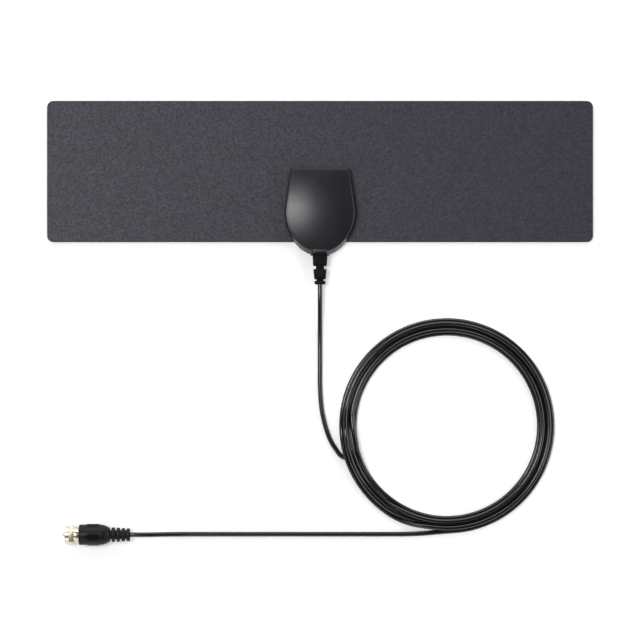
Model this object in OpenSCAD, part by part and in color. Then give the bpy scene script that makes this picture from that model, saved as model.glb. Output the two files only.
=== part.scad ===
// Flat indoor TV antenna: a thin laminated panel, a domed junction housing
// clamped over its lower edge, and a coaxial lead that ends in a screw-on plug.
// It lies on its back: +Z up, +X to the right, the lead leaves towards -Y.
// The origin is under the middle of the panel and housing, on the floor.

/* [Panel] */
// Width of the panel, left to right
panel_w = 340; // [280:5:420]
// Height of the panel, lower edge to upper edge
panel_h = 88; // [72:1:120]
// Radius of the panel's corners
panel_corner_r = 4; // [1:0.5:10]
// Thickness of each of the two plastic sheets
sheet_t = 0.45; // [0.4:0.05:0.8]
// Thickness of the foil between the sheets
foil_t = 0.1; // [0.05:0.05:0.2]
// Bare margin between the foil and the panel's edge
foil_margin = 6; // [3:0.5:12]

/* [Housing] */
// Length of the housing, top edge to lower tip
housing_l = 55; // [50:1:66]
// Width of the housing at its widest
housing_w = 44.6; // [42:0.2:56]
// Width of the housing at its top edge
housing_top_w = 37.7; // [35:0.1:41]
// Height of the housing's crown above the floor
housing_h = 12; // [11:0.5:16]
// How far the housing reaches past the panel's lower edge
overhang = 8.7; // [7:0.1:10]
// How far below the top edge the housing is widest
flare_l = 26.8; // [22:0.2:30]
// Wall of the front cover
wall = 1.6; // [1.2:0.1:2]
// Thickness of the rear cover's plate
rear_t = 1.6; // [1.4:0.1:2.4]
// Rise of the domed crown above its two ends
crown = 2.75; // [1.5:0.25:3.25]
// Step between the rim and the crown's edge at the lower tip
tip_step = 4; // [2:0.25:5]
// Step between the rim and the crown's edge at the sides
side_step = 0.9; // [0.4:0.1:1.6]

/* [Fasteners] */
// Radius of the screw posts in the front cover
post_r = 2.5; // [2:0.1:2.8]
// Radius of the screws' shanks
screw_r = 0.9; // [0.7:0.05:1.1]
// Length of the screws, head included
screw_l = 6; // [4:0.5:7]
// Radius of the screws' countersunk heads
screw_head_r = 1.9; // [1.5:0.1:2.2]
// Radius of the feed rivets' shanks
rivet_r = 1; // [0.6:0.1:1.3]

/* [Board] */
// Width of the circuit board
board_w = 19; // [16:0.5:19]
// Length of the circuit board
board_l = 27; // [24:0.5:28]
// Thickness of the circuit board
board_t = 1.2; // [0.8:0.1:1.6]

/* [Lead] */
// Diameter of the coaxial lead
cord_d = 3; // [2.6:0.1:3.4]
// Radius of the coil at the middle of its turns
coil_r = 61.6; // [55:0.2:70]
// Distance between neighbouring turns of the coil's lower layer
turn_pitch = 4; // [3.5:0.1:5]

/* [Strain relief] */
// Width of the strain relief's largest block
relief_w = 9.2; // [8:0.1:10]
// Height of the strain relief's largest block
relief_h = 5.6; // [4.6:0.1:5.8]

/* [Plug] */
// Radius of the plug's moulded grip
grip_r = 6.4; // [5.8:0.1:7.5]
// Length of the moulded grip, without its ribbed tail
grip_l = 19.2; // [17:0.2:24]
// Distance across the coupling nut's flats
nut_flats = 11.1; // [10.4:0.1:12]
// Length of the coupling nut
nut_l = 8.7; // [7.5:0.1:11]
// Radius of the nut's threaded bore, at the crests
nut_bore_r = 4.4; // [4:0.1:4.6]
// Radius of the neck that the nut turns on
neck_r = 3.2; // [2.6:0.1:3.4]
// Running clearance between the nut and its neck
neck_play = 0.05; // [0.02:0.01:0.1]
// Radius of the centre pin
pin_r = 0.4; // [0.3:0.05:0.6]
// Length of the centre pin past the nut
pin_out = 1.7; // [0.5:0.1:3]

/* [Hidden] */
$fn = 64;

// Gap left round a piece that is slipped into its place
slip = 0.15;
// Overshoot of a cutting shape past the face it cuts
over = 1;

// Heights of the stack, from the floor up. The rear cover's plate is let into a
// shallow recess in the rear sheet, so it reaches higher than the panel's back
recess_t = 0.1;
panel_z = rear_t;
plate_z = rear_t + recess_t;
panel_t = 2 * sheet_t;
seam_z = panel_z + panel_t;
board_z = seam_z;
board_top = board_z + board_t;

// Places of the panel and the housing along Y, centred together on the origin
panel_cy = overhang / 2;
panel_y0 = panel_cy - panel_h / 2;
housing_y0 = panel_y0 - overhang;
housing_y1 = housing_y0 + housing_l;
wide_y = housing_y1 - flare_l;

// Crown of the front cover: a sphere over the middle of the crown's outline
dome_w = housing_w - 2 * side_step;
dome_top_w = housing_top_w - 2 * side_step;
dome_y0 = housing_y0 + tip_step;
dome_y1 = housing_y1 - side_step;
dome_cy = (dome_y0 + dome_y1) / 2;
dome_half_l = (dome_y1 - dome_y0) / 2;
dome_r = (dome_half_l * dome_half_l + crown * crown) / (2 * crown);
rim_h = 1.2;
outline_corner_r = 2.2;
outline_step = 5;
slice_t = 0.01;

// Screws, at the corners of a four-post pattern
screw_inset = 5.8;
upper_screw_drop = 6.6;
lower_screw_rise = 8.6;
board_play = 0.5;
upper_screw_y = housing_y1 - upper_screw_drop;
lower_screw_y = panel_y0 + lower_screw_rise;
lower_screw_x = board_w / 2 + post_r + board_play;
screw_spots = [
    [housing_top_w / 2 - screw_inset, upper_screw_y],
    [screw_inset - housing_top_w / 2, upper_screw_y],
    [lower_screw_x, lower_screw_y],
    [-lower_screw_x, lower_screw_y]
];
head_h = 1;
screw_sink = 0.1;
screw_play = 0.05;
screw_room = 0.5;

// Feed rivets, one on each side of the gap between the foils
rivet_x = 6.5;
rivet_drop = 4;
rivet_lip = 0.8;
board_drop = 6;
board_y1 = upper_screw_y - board_drop;
board_y0 = board_y1 - board_l;
rivet_y = board_y1 - rivet_drop;
rivet_head_r = rivet_r + rivet_lip;
rivet_head_h = 0.5;
feed_gap = 3.4;

// Foil arm: how far its feed reaches below and above the rivet, and how far
// outside the housing its wide plate starts
feed_below = 5;
feed_above = 3;
plate_step = 8;

// Transformer on the board
core_w = 8;
core_l = 6;
core_h = 4.2;
core_drop = 10;
core_y = board_y1 - core_drop;
core_hole_r = 0.9;
core_hole_x = 2;
wire_r = 0.3;

// Lead inside the housing, its layers stripped back one after the other
cord_r = cord_d / 2;
cord_z = board_top + cord_r;
layer_t = 0.35;
braid_r = cord_r - layer_t;
dielectric_r = braid_r - layer_t;
conductor_r = 0.25;
flange_t = 1.5;
tunnel_l = 3.7;
jacket_l = 6.5;
braid_l = 5;
bare_l = 3;
flange_y0 = housing_y0 + tunnel_l;
lead_end_y = flange_y0 + flange_t;
jacket_y = lead_end_y + jacket_l;
braid_y = jacket_y + braid_l;
dielectric_y = braid_y + bare_l;
conductor_y = dielectric_y + bare_l;

// Strain relief: lengths of its blocks and waists outside the housing
relief_spans = [6.15, 2, 6.3, 1, 2.2];
relief_narrowing = [0, 4, 1.4, 4.6, 2.3];
relief_corner_r = 1.2;
relief_l = relief_spans[0] + relief_spans[1] + relief_spans[2] + relief_spans[3] + relief_spans[4];
relief_slot = 1.1;
relief_slot_depth = 1;
flange_side = 1.8;
flange_top = 0.3;
flange_w = relief_w + flange_side;
flange_h = relief_h + flange_top;
collar_t = 1.1;

// Where the lead leaves the strain relief
exit_y = housing_y0 - relief_l;

// Plug: its axis lies along X, on its grip pads, rolled a little about that axis
plug_roll = -11;
pad_rise = 0.5;
plug_z = grip_r + pad_rise;
rib_count = 4;
rib_pitch = 3.1;
rib_t = 2.1;
rib_r = 4;
rib_taper = 0.2;
boot_core_r = 2.8;
ribs_l = rib_count * rib_pitch;
shoulder_l = 3;
shoulder_r = 4.6;
boot_l = ribs_l + grip_l;
pad_l = 8.5;
pad_w = 5;
pad_drop = 4.4;
ridge_count = 5;
ridge_h = 0.25;
ridge_w = 0.8;
ridge_inset = 0.6;
nut_gap = 0.2;
nut_z0 = boot_l + nut_gap;
nut_z1 = nut_z0 + nut_l;
nut_lip_t = 1.5;
nut_corner_r = nut_flats / 2 / cos(30);
flange_play = 0.1;
bore_play = 0.2;
post_flange_z = nut_z0 + nut_lip_t + flange_play;
post_flange_t = 0.8;
post_flange_r = nut_bore_r - bore_play;
post_front = post_flange_z + post_flange_t;
post_l = 11.5;
post_wall = 0.9;
post_z0 = post_flange_z - post_l;
post_bore_r = neck_r - post_wall;
ferrule_step = 0.5;
ferrule_r = neck_r - ferrule_step;
ferrule_l = 6;
ferrule_z0 = post_z0 - ferrule_l;
ferrule_bore_r = 1.5;
pin_step = 0.3;
pin_root_r = pin_r + pin_step;
pin_tip_l = 0.4;
pin_end = nut_z1 + pin_out;

// Route of the lead from its exit to the coil: right, forward, and the share of
// the exit's height that is left. Every point is a ring of the tube.
lead_steps = [
    [0, 0, 1], [0, -6, 1], [0, -12, 0.9], [0, -18, 0.6], [0, -24, 0.3], [0, -30, 0.1],
    [0, -37, 0], [0, -45, 0], [0, -53, 0], [0, -61, 0], [0.3, -69, 0], [1, -77, 0],
    [2.3, -84, 0], [4.2, -91, 0], [7, -98, 0], [10.8, -104, 0], [15.5, -109, 0],
    [18, -111, 0]
];
// Centre of the coil, from the exit
coil_step = [79, -88];
// Route from the coil to the plug, with the share of the plug's height
tail_steps = [
    [80, -153.5, 0], [72, -154.5, 0], [64, -155, 0], [56, -155.3, 0], [48, -155.5, 0],
    [40, -155.5, 0], [32, -155.5, 0], [24, -155.5, 0], [16, -155.5, 0], [8, -155.5, 0],
    [0, -155.5, 0], [-8, -155.5, 0], [-16, -155.5, 0], [-24, -155.5, 0], [-32, -155.5, 0],
    [-40, -155.5, 0], [-48, -155.5, 0], [-56, -155.5, 0], [-64, -155.5, 0], [-72, -155.5, 0],
    [-80, -155.5, 0], [-87, -155.5, 0.05], [-94, -155.5, 0.25], [-100, -155.5, 0.55],
    [-106, -155.5, 0.85], [-112, -155.5, 1], [-118, -155.5, 1]
];
plug_x = tail_steps[len(tail_steps) - 1][0];
plug_y = exit_y + tail_steps[len(tail_steps) - 1][1];
tube_sides = 8;

function route(steps, height) =
    [for (s = steps) [s[0], exit_y + s[1], cord_r + s[2] * (height - cord_r)]];

// Height of the crown's outer surface over a place
function crown_z(p) =
    housing_h - dome_r + sqrt(dome_r * dome_r - p[0] * p[0] - pow(p[1] - dome_cy, 2));

// Half a shield, right side, from the top corner to the tip
function shield_side(top_w, wide_w, y_top, y_wide, y_tip) = concat(
    [for (a = [90 : -22.5 : 0])
        [top_w / 2 - outline_corner_r * (1 - cos(a)), y_top - outline_corner_r * (1 - sin(a))]],
    [for (a = [0 : outline_step : 90 - outline_step])
        [wide_w / 2 * cos(a), y_wide - (y_wide - y_tip) * sin(a)]]
);
function mirrored(points) =
    [for (i = [len(points) - 1 : -1 : 0]) [-points[i][0], points[i][1]]];
function shield(top_w, wide_w, y_top, y_wide, y_tip) =
    let (side = shield_side(top_w, wide_w, y_top, y_wide, y_tip))
    concat(side, [[0, y_tip]], mirrored(side));

// Unit vector, and the direction of a route at one of its points
function unit(v) = v / norm(v);
function heading(path, i) =
    unit(path[min(i + 1, len(path) - 1)] - path[max(i - 1, 0)]);
function tube_ring(at, along, r) =
    let (across = unit(cross(along, [0, 0, 1])), up = cross(across, along))
    [for (k = [0 : tube_sides - 1])
        at + r * (cos(360 * (k + 0.5) / tube_sides) * across
                + sin(360 * (k + 0.5) / tube_sides) * up)];

// Tube swept along a route, one ring at each point
module tube(path, r) {
    n = len(path);
    rings = [for (i = [0 : n - 1]) each tube_ring(path[i], heading(path, i), r)];
    sides = [for (i = [0 : n - 2], k = [0 : tube_sides - 1])
        let (next = (k + 1) % tube_sides)
        [i * tube_sides + k, i * tube_sides + next,
         (i + 1) * tube_sides + next, (i + 1) * tube_sides + k]];
    first_end = [for (k = [tube_sides - 1 : -1 : 0]) k];
    last_end = [for (k = [0 : tube_sides - 1]) (n - 1) * tube_sides + k];
    polyhedron(rings, concat(sides, [first_end], [last_end]));
}

module rounded_rect(w, h, r) {
    square([w - 2 * r, h], center = true);
    square([w, h - 2 * r], center = true);
    for (x = [-1, 1], y = [-1, 1])
        translate([x * (w / 2 - r), y * (h / 2 - r)]) circle(r);
}

// Rounded bar along the lead's axis, from y_from towards the coil
module relief_bar(y_from, l, w, h, r = relief_corner_r) {
    translate([0, y_from, cord_z]) rotate([90, 0, 0])
        linear_extrude(l) rounded_rect(w, h, r);
}

module rod_y(y0, y1, r) {
    translate([0, y1, cord_z]) rotate([90, 0, 0]) cylinder(h = y1 - y0, r = r);
}

module at_screws() {
    for (p = screw_spots) translate([p[0], p[1], 0]) children();
}

module at_rivets() {
    for (x = [-rivet_x, rivet_x]) translate([x, rivet_y, 0]) children();
}

// Plug frame: +Z runs from the lead's end of the plug to the tip of its pin
module on_plug() {
    translate([plug_x, plug_y, plug_z]) rotate([0, -90, 0]) rotate(plug_roll) children();
}

module panel_holes() {
    at_screws() cylinder(h = seam_z + over, r = post_r + slip);
    at_rivets() cylinder(h = seam_z + over, r = rivet_r);
}

module panel_slab(z, t) {
    translate([0, panel_cy, z]) linear_extrude(t) rounded_rect(panel_w, panel_h, panel_corner_r);
}

// One arm of the dipole, on the right: a wide plate that narrows to the feed
module foil_outline(grow) {
    x0 = feed_gap / 2 - grow;
    x1 = panel_w / 2 - foil_margin + grow;
    y0 = panel_y0 + foil_margin - grow;
    y1 = panel_cy + panel_h / 2 - foil_margin + grow;
    neck_x = housing_top_w / 2;
    plate_x = housing_w / 2 + plate_step - grow;
    neck_y0 = rivet_y - feed_below - grow;
    neck_y1 = rivet_y + feed_above + grow;
    polygon([[x0, neck_y0], [neck_x, neck_y0], [plate_x, y0], [x1, y0],
             [x1, y1], [plate_x, y1], [neck_x, neck_y1], [x0, neck_y1]]);
}

module foil_slab(grow, z, t) {
    translate([0, 0, z]) linear_extrude(t) foil_outline(grow);
}

module element() {
    difference() {
        foil_slab(0, panel_z + sheet_t - foil_t, foil_t);
        panel_holes();
    }
}

module front_sheet() {
    color([0.27, 0.265, 0.29]) difference() {
        panel_slab(panel_z + sheet_t, sheet_t);
        panel_holes();
    }
}

module rear_sheet() {
    color([0.25, 0.245, 0.27]) difference() {
        panel_slab(panel_z, sheet_t);
        for (side = [0, 1]) mirror([side, 0, 0])
            foil_slab(slip, panel_z + sheet_t - foil_t, foil_t + over);
        translate([0, 0, panel_z - over]) linear_extrude(over + recess_t)
            polygon(shield(housing_top_w + 2 * slip, housing_w + 2 * slip,
                           housing_y1 + slip, wide_y, housing_y0 - slip));
        panel_holes();
    }
}

module left_element() {
    color("silver") mirror([1, 0, 0]) element();
}

module right_element() {
    color("silver") element();
}

module cover_slice(z, points) {
    translate([0, 0, z]) linear_extrude(slice_t) polygon(points);
}

// Closed form of the front cover, drawn in by inset: a rim, a wall that leans in
// most at the tip, and a crown that is part of a sphere
module cover_form(z0, inset) {
    rim = shield(housing_top_w - 2 * inset, housing_w - 2 * inset,
                 housing_y1 - inset, wide_y, housing_y0 + inset);
    crown_edge = shield(dome_top_w - 2 * inset, dome_w - 2 * inset,
                        dome_y1 - inset, wide_y, dome_y0 + inset);
    intersection() {
        hull() {
            cover_slice(z0, rim);
            cover_slice(seam_z + rim_h, rim);
            cover_slice(housing_h, crown_edge);
        }
        translate([0, dome_cy, housing_h - dome_r]) sphere(dome_r - inset);
    }
}

// Bar round the strain relief's path through the cover, above the seam
module collar() {
    difference() {
        relief_bar(flange_y0, tunnel_l,
                   relief_w + 2 * (slip + collar_t), relief_h + 2 * (slip + collar_t));
        translate([-housing_w, housing_y0 - over, -over])
            cube([2 * housing_w, tunnel_l + 2 * over, seam_z + over]);
    }
}

module front_cover() {
    color([0.17, 0.17, 0.18]) difference() {
        union() {
            difference() {
                cover_form(seam_z, 0);
                cover_form(seam_z - over, wall);
            }
            collar();
            for (p = screw_spots) translate([p[0], p[1], plate_z])
                cylinder(h = crown_z(p) - wall / 2 - plate_z, r = post_r);
        }
        relief_bar(flange_y0 + over, tunnel_l + 2 * over,
                   relief_w + 2 * slip, relief_h + 2 * slip, relief_corner_r + slip);
        relief_bar(flange_y0 + flange_t + slip, flange_t + 2 * slip,
                   flange_w + 2 * slip, flange_h + 2 * slip, relief_corner_r + slip);
        at_screws() cylinder(h = screw_l + screw_room, r = screw_r + screw_play);
    }
}

module rear_cover() {
    rim = shield(housing_top_w, housing_w, housing_y1, wide_y, housing_y0);
    color([0.15, 0.15, 0.16]) difference() {
        union() {
            linear_extrude(plate_z) polygon(rim);
            difference() {
                linear_extrude(seam_z) polygon(rim);
                linear_extrude(seam_z + over)
                    polygon(shield(housing_top_w - 2 * wall, housing_w - 2 * wall,
                                   housing_y1 - wall, wide_y, housing_y0 + wall));
                translate([-housing_w, panel_y0 - slip, plate_z])
                    cube([2 * housing_w, housing_l, seam_z]);
            }
        }
        relief_bar(flange_y0, flange_y0 - housing_y0 + over,
                   relief_w + 2 * slip, relief_h + 2 * slip, relief_corner_r + slip);
        at_screws() {
            translate([0, 0, -over]) cylinder(h = rear_t + 2 * over, r = screw_r + slip);
            translate([0, 0, screw_sink]) cylinder(h = head_h, r1 = screw_head_r, r2 = screw_r + slip);
            translate([0, 0, -over]) cylinder(h = over + screw_sink, r = screw_head_r);
        }
        at_rivets() translate([0, 0, plate_z - rivet_head_h - slip])
            cylinder(h = plate_z, r = rivet_head_r + slip);
    }
}

module cover_screws() {
    slot_w = 0.5;
    slot_depth = 0.5;
    color("dimgray") at_screws() difference() {
        union() {
            translate([0, 0, screw_sink])
                cylinder(h = head_h, r1 = screw_head_r - slip, r2 = screw_r);
            translate([0, 0, screw_sink]) cylinder(h = screw_l - screw_sink, r = screw_r);
        }
        for (turn = [0, 90]) rotate(turn)
            translate([-screw_head_r / 2, -slot_w / 2, 0])
                cube([screw_head_r, slot_w, screw_sink + slot_depth]);
    }
}

module circuit_board() {
    color("seagreen") difference() {
        translate([-board_w / 2, board_y0, board_z]) cube([board_w, board_l, board_t]);
        at_rivets() cylinder(h = board_top + over, r = rivet_r);
    }
}

module feed_rivets() {
    color("goldenrod") at_rivets() {
        translate([0, 0, plate_z - rivet_head_h]) cylinder(h = rivet_head_h, r = rivet_head_r);
        translate([0, 0, plate_z - rivet_head_h])
            cylinder(h = board_top - plate_z + 2 * rivet_head_h, r = rivet_r);
        translate([0, 0, board_top]) cylinder(h = rivet_head_h, r = rivet_head_r);
    }
}

// Two-hole core that couples the two foils to the lead
module balun_core() {
    color([0.2, 0.2, 0.22]) difference() {
        translate([-core_w / 2, core_y - core_l / 2, board_top]) cube([core_w, core_l, core_h]);
        for (x = [-core_hole_x, core_hole_x])
            translate([x, core_y + core_l / 2 + over, board_top + core_h / 2]) rotate([90, 0, 0])
                cylinder(h = core_l + 2 * over, r = core_hole_r);
    }
}

// One turn of wire through both holes, its two ends brought down to the board
module balun_winding() {
    reach = 0.7;
    y0 = core_y - core_l / 2 - reach;
    y1 = core_y + core_l / 2 + reach;
    z = board_top + core_h / 2;
    color("peru") {
        for (x = [-core_hole_x, core_hole_x]) {
            translate([x, y1, z]) rotate([90, 0, 0]) cylinder(h = y1 - y0, r = wire_r);
            translate([x, y1, z]) sphere(wire_r);
            translate([x, y0, z]) sphere(wire_r);
            translate([x, y1, board_top]) cylinder(h = core_h / 2, r = wire_r);
        }
        translate([-core_hole_x, y0, z]) rotate([0, 90, 0])
            cylinder(h = 2 * core_hole_x, r = wire_r);
    }
}

module chip_capacitors() {
    chip = [2, 1.2, 0.9];
    color("tan") for (side = [-1, 1])
        translate([side * board_w / 4 - chip[0] / 2, core_y - core_l - chip[1], board_top])
            cube(chip);
}

// Solder under the braid, and a cone round the end of the conductor
module solder_joints() {
    saddle_w = 3;
    saddle_l = 1.6;
    saddle_drop = 0.2;
    cone_r = 1.2;
    cone_tip_r = 0.5;
    cone_rise = 0.2;
    cone_drop = 1;
    color("lightgray") difference() {
        union() {
            translate([-saddle_w / 2, braid_y - saddle_drop - saddle_l, board_top])
                cube([saddle_w, saddle_l, cord_r]);
            translate([0, conductor_y - cone_drop, board_top])
                cylinder(h = cord_r + conductor_r + cone_rise, r1 = cone_r, r2 = cone_tip_r);
        }
        rod_y(lead_end_y, braid_y, braid_r);
        rod_y(braid_y, conductor_y, conductor_r);
    }
}

module lead_end_jacket() {
    color([0.1, 0.1, 0.1]) difference() {
        rod_y(lead_end_y, jacket_y, cord_r);
        rod_y(lead_end_y - over, jacket_y + over, braid_r);
    }
}

module lead_end_braid() {
    color("silver") difference() {
        rod_y(lead_end_y, braid_y, braid_r);
        rod_y(lead_end_y - over, braid_y + over, dielectric_r);
    }
}

module lead_end_dielectric() {
    color("white") difference() {
        rod_y(lead_end_y, dielectric_y, dielectric_r);
        rod_y(lead_end_y - over, dielectric_y + over, conductor_r);
    }
}

module lead_end_conductor() {
    color("peru") rod_y(lead_end_y, conductor_y, conductor_r);
}

// Where each block or waist starts, from the housing's tip
function relief_start(i) = i == 0 ? 0 : relief_start(i - 1) + relief_spans[i - 1];

module strain_relief() {
    slot_blocks = [0, 2];
    color([0.08, 0.08, 0.08]) difference() {
        union() {
            relief_bar(flange_y0 + flange_t, flange_t, flange_w, flange_h);
            relief_bar(flange_y0, tunnel_l, relief_w, relief_h);
            for (i = [0 : len(relief_spans) - 1])
                relief_bar(housing_y0 - relief_start(i), relief_spans[i],
                           relief_w - relief_narrowing[i],
                           relief_h - relief_narrowing[i] / 2,
                           min(relief_corner_r, relief_h / 4));
        }
        for (i = slot_blocks, side = [-1, 1]) {
            h = relief_h - relief_narrowing[i] / 2;
            translate([0, housing_y0 - relief_start(i) - relief_spans[i] / 2,
                       cord_z + side * (h + over - relief_slot_depth) / 2])
                cube([relief_w, relief_slot, relief_slot_depth + over], center = true);
        }
    }
}

module lead_cord() {
    color([0.06, 0.06, 0.06]) tube(route(lead_steps, cord_z), cord_r);
}

// Outer form of the coil: three turns side by side and two nested on top
module cord_coil() {
    rise = sqrt(cord_d * cord_d - turn_pitch * turn_pitch / 4);
    top_z = cord_r + rise;
    // Outward normal of the flank that touches a lower and an upper turn
    nx = rise / cord_d;
    nz = turn_pitch / 2 / cord_d;
    color([0.06, 0.06, 0.06]) translate([coil_step[0], exit_y + coil_step[1], 0])
        rotate_extrude($fn = 96) translate([coil_r, 0]) {
            polygon([[-turn_pitch, 0], [turn_pitch, 0],
                     [turn_pitch + cord_r * nx, cord_r + cord_r * nz],
                     [turn_pitch / 2 + cord_r * nx, top_z + cord_r * nz],
                     [turn_pitch / 2, top_z + cord_r], [-turn_pitch / 2, top_z + cord_r],
                     [-turn_pitch / 2 - cord_r * nx, top_z + cord_r * nz],
                     [-turn_pitch - cord_r * nx, cord_r + cord_r * nz]]);
            for (side = [-1, 1]) {
                translate([side * turn_pitch, cord_r]) circle(cord_r);
                translate([side * turn_pitch / 2, top_z]) circle(cord_r);
            }
        }
}

module tail_cord() {
    color([0.06, 0.06, 0.06]) tube(route(tail_steps, plug_z), cord_r);
}

// Ribbed tail and round shoulder in section, from the lead's end to the nut
module boot_section() {
    grip_round = 0.6;
    edge = 0.5;
    square([boot_core_r, ribs_l + shoulder_l]);
    for (i = [0 : rib_count - 1]) {
        r = rib_r + i * rib_taper;
        translate([0, i * rib_pitch]) {
            square([r - edge, rib_t]);
            translate([0, edge]) square([r, rib_t - 2 * edge]);
            translate([r - edge, edge]) circle(edge);
            translate([r - edge, rib_t - edge]) circle(edge);
        }
    }
    translate([0, ribs_l - rib_pitch + rib_t]) polygon(concat(
        [[0, 0], [shoulder_r, 0]],
        [for (a = [0 : 15 : 90])
            [shoulder_r + (grip_r - shoulder_r) * sin(a),
             rib_pitch - rib_t + shoulder_l * (1 - cos(a))]],
        [[grip_r, grip_l + rib_pitch - rib_t - grip_round],
         [grip_r - grip_round, grip_l + rib_pitch - rib_t], [0, grip_l + rib_pitch - rib_t]]
    ));
}

// Oval thumb pad with raised ridges, on the side of the grip at +X
module grip_pad() {
    pad_z = boot_l - pad_drop - pad_l / 2;
    face_h = grip_r + pad_rise - ridge_h;
    straight_l = pad_l - pad_w;
    ridge_pitch = pad_l / (ridge_count + 1);
    translate([0, 0, pad_z]) rotate([0, 90, 0]) intersection() {
        union() {
            for (side = [-1, 1]) translate([side * straight_l / 2, 0, 0])
                cylinder(h = face_h, r = pad_w / 2);
            translate([-straight_l / 2, -pad_w / 2, 0]) cube([straight_l, pad_w, face_h]);
            for (i = [0 : ridge_count - 1])
                translate([(i - (ridge_count - 1) / 2) * ridge_pitch - ridge_w / 2,
                           ridge_inset - pad_w / 2, 0])
                    cube([ridge_w, pad_w - 2 * ridge_inset, grip_r + pad_rise]);
        }
        translate([-pad_l, 0, 0]) rotate([0, 90, 0]) cylinder(h = 2 * pad_l, r = grip_r + pad_rise);
    }
}

module plug_boot() {
    color([0.08, 0.08, 0.08]) on_plug() difference() {
        union() {
            rotate_extrude() boot_section();
            for (turn = [0 : 90 : 270]) rotate(turn) grip_pad();
        }
        translate([0, 0, post_z0]) cylinder(h = boot_l, r = neck_r);
        translate([0, 0, ferrule_z0]) cylinder(h = boot_l, r = ferrule_r);
    }
}

module crimp_ferrule() {
    color("silver") on_plug() translate([0, 0, ferrule_z0]) difference() {
        cylinder(h = ferrule_l, r = ferrule_r);
        translate([0, 0, -over]) cylinder(h = ferrule_l + 2 * over, r = ferrule_bore_r);
    }
}

module plug_post() {
    color("silver") on_plug() difference() {
        union() {
            translate([0, 0, post_z0]) cylinder(h = post_l + post_flange_t / 2, r = neck_r);
            translate([0, 0, post_flange_z]) cylinder(h = post_flange_t, r = post_flange_r);
        }
        translate([0, 0, post_z0 - over])
            cylinder(h = post_l + post_flange_t + 2 * over, r = post_bore_r);
    }
}

module plug_insulator() {
    color("white") on_plug() difference() {
        union() {
            translate([0, 0, ferrule_z0]) cylinder(h = ferrule_l + over, r = ferrule_bore_r);
            translate([0, 0, post_z0]) cylinder(h = post_front - post_z0, r = post_bore_r);
        }
        translate([0, 0, ferrule_z0 - over])
            cylinder(h = post_front - ferrule_z0 + 2 * over, r = pin_root_r);
    }
}

module plug_pin() {
    color("peru") on_plug() {
        translate([0, 0, ferrule_z0]) cylinder(h = post_front - ferrule_z0, r = pin_root_r);
        translate([0, 0, post_front - over])
            cylinder(h = pin_end - pin_tip_l - post_front + over, r = pin_r);
        translate([0, 0, pin_end - pin_tip_l])
            cylinder(h = pin_tip_l, r1 = pin_r, r2 = pin_r / 3);
    }
}

// Coupling nut in section: base, collar ring, waist, bevelled band for the
// hexagon, and a round skirt at the front
module nut_section() {
    base_drop = 0.55;
    ring_drop = 0.2;
    skirt_drop = 0.05;
    corner_drop = 0.2;
    bevel_angle = 32;
    base_r = nut_flats / 2 - base_drop;
    ring_r = nut_flats / 2 - ring_drop;
    skirt_r = nut_flats / 2 - skirt_drop;
    band_r = nut_corner_r - corner_drop;
    bevel_h = (band_r - skirt_r) * tan(bevel_angle);
    edge = 0.25;
    base_z = 0.8;
    ring_z = 2.5;
    band_z0 = 3.1;
    band_z1 = 6;
    polygon([
        [0, 0], [base_r, 0], [base_r, base_z],
        [ring_r - edge, base_z], [ring_r, base_z + edge],
        [ring_r, ring_z - edge], [ring_r - edge, ring_z],
        [base_r, ring_z], [base_r, band_z0],
        [skirt_r, band_z0], [band_r, band_z0 + bevel_h],
        [band_r, band_z1 - bevel_h], [skirt_r, band_z1],
        [skirt_r, nut_l - edge], [skirt_r - edge, nut_l], [0, nut_l]
    ]);
}

// The nut is drawn in the roll in which it lies on the floor
module coupling_nut() {
    hexagon_roll = 26;
    color("silver") on_plug() translate([0, 0, nut_z0]) difference() {
        intersection() {
            rotate(hexagon_roll) cylinder(h = nut_l, r = nut_corner_r, $fn = 6);
            rotate_extrude() nut_section();
        }
        translate([0, 0, -over]) cylinder(h = nut_l, r = neck_r + neck_play);
        translate([0, 0, nut_lip_t]) cylinder(h = nut_l, r = nut_bore_r);
    }
}

front_sheet();
rear_sheet();
left_element();
right_element();
front_cover();
rear_cover();
cover_screws();
circuit_board();
feed_rivets();
balun_core();
balun_winding();
chip_capacitors();
solder_joints();
lead_end_jacket();
lead_end_braid();
lead_end_dielectric();
lead_end_conductor();
strain_relief();
lead_cord();
cord_coil();
tail_cord();
plug_boot();
crimp_ferrule();
plug_post();
plug_insulator();
plug_pin();
coupling_nut();
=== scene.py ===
"""Looks of a flat indoor TV antenna: panel, junction housing, coiled lead and plug."""

import math

import bmesh
import bpy
from mathutils import Matrix, Vector


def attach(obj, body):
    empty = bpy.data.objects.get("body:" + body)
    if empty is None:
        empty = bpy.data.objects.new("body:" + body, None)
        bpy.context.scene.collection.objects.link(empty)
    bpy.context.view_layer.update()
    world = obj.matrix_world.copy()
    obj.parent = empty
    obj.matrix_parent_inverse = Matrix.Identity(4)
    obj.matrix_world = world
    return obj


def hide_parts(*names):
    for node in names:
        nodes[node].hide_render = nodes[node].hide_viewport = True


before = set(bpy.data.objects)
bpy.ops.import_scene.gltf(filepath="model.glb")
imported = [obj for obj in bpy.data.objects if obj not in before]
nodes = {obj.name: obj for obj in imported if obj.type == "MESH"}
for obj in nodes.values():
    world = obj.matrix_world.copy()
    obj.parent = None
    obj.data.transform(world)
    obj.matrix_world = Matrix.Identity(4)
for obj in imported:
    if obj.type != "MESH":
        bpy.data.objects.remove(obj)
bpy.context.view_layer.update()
MM = 0.001

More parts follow.
